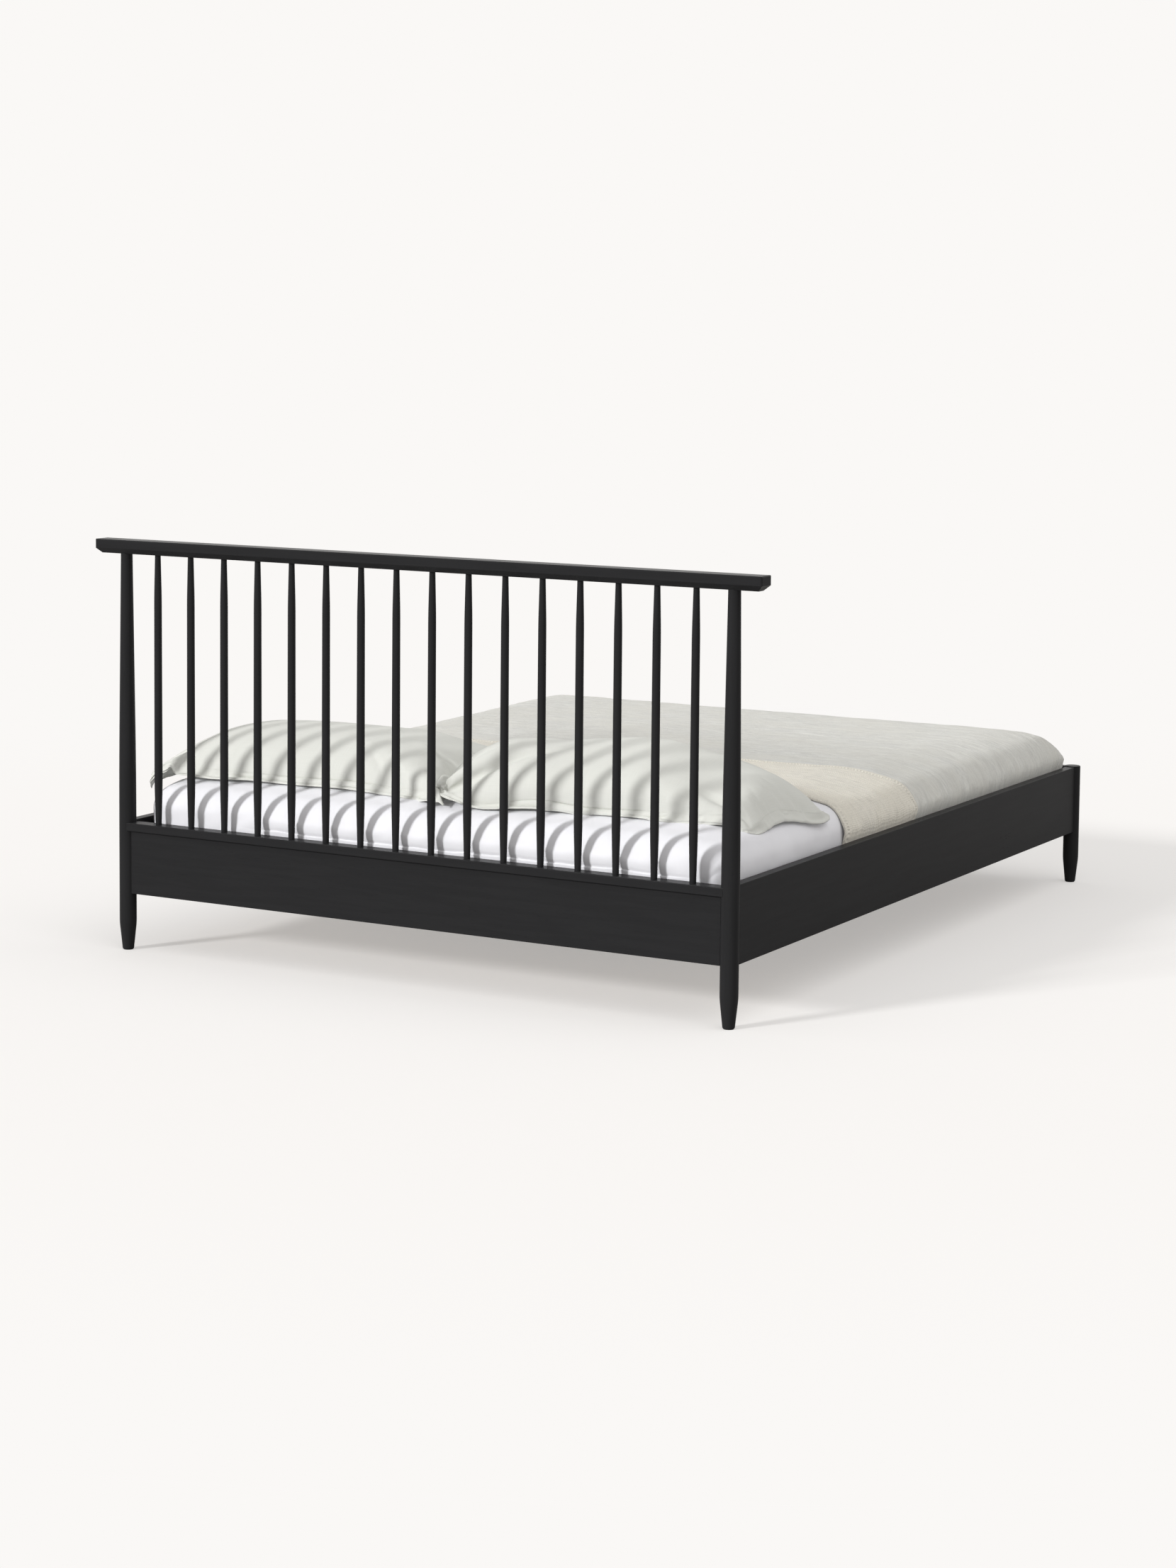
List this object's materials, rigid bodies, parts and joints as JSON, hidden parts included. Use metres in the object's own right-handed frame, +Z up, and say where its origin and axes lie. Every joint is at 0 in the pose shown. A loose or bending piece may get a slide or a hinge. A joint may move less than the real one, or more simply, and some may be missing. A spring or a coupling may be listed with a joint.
{
  "type": "spindle-back double bed",
  "caption": "Low double bed with a slender spindle headboard, turned tapered posts, plain rails, slatted base, mattress, pillows and coverlet.",
  "frame": {"origin": "on the floor, at the middle of the bed's outline seen from above", "axes": "+X to the sleeper's left, +Y towards the headboard, +Z up"},
  "size_m": [1.796, 2.167, 1.01],
  "materials": {
    "stained_wood": "near-black satin lacquer, faint grain",
    "pine": "bare planed softwood",
    "beech": "bare turned hardwood",
    "zinc_steel": "zinc plated",
    "webbing": "woven strap",
    "mattress_ticking": "white ticking",
    "white_sheet": "smooth woven cotton",
    "grey_gauze": "crinkled gauze with a cream band at the head edge",
    "stone_linen": "washed light grey linen"
  },
  "bodies": {
    "root": {"head_post_left": "stained_wood", "head_post_right": "stained_wood", "foot_post_left": "stained_wood", "foot_post_right": "stained_wood", "crest_rail": "stained_wood", "cap_rail": "stained_wood", "head_panel": "stained_wood", "foot_rail": "stained_wood", "side_rail_left": "stained_wood", "side_rail_right": "stained_wood", "centre_leg_head": "stained_wood", "centre_leg_foot": "stained_wood", "spindle_01": "stained_wood", "spindle_02": "stained_wood", "spindle_03": "stained_wood", "spindle_04": "stained_wood", "spindle_05": "stained_wood", "spindle_06": "stained_wood", "spindle_07": "stained_wood", "spindle_08": "stained_wood", "spindle_09": "stained_wood", "spindle_10": "stained_wood", "spindle_11": "stained_wood", "spindle_12": "stained_wood", "spindle_13": "stained_wood", "spindle_14": "stained_wood", "spindle_15": "stained_wood", "spindle_16": "stained_wood", "ledger_left": "pine", "ledger_right": "pine", "centre_beam": "pine", "slat_01": "pine", "slat_02": "pine", "slat_03": "pine", "slat_04": "pine", "slat_05": "pine", "slat_06": "pine", "slat_07": "pine", "slat_08": "pine", "slat_09": "pine", "slat_10": "pine", "slat_11": "pine", "slat_12": "pine", "slat_13": "pine", "slat_14": "pine", "rail_dowels": "beech", "beam_shoe_head": "zinc_steel", "beam_shoe_foot": "zinc_steel", "rail_studs": "zinc_steel", "stud_nuts": "zinc_steel", "crescent_washers": "zinc_steel", "ledger_screws": "zinc_steel", "shoe_screws": "zinc_steel", "leg_hanger_bolts": "zinc_steel", "slat_webbing": "webbing", "mattress": "mattress_ticking", "fitted_sheet": "white_sheet", "coverlet": "grey_gauze", "pillow_left": "stone_linen", "pillow_right": "stone_linen"}
  },
  "joints": []
}
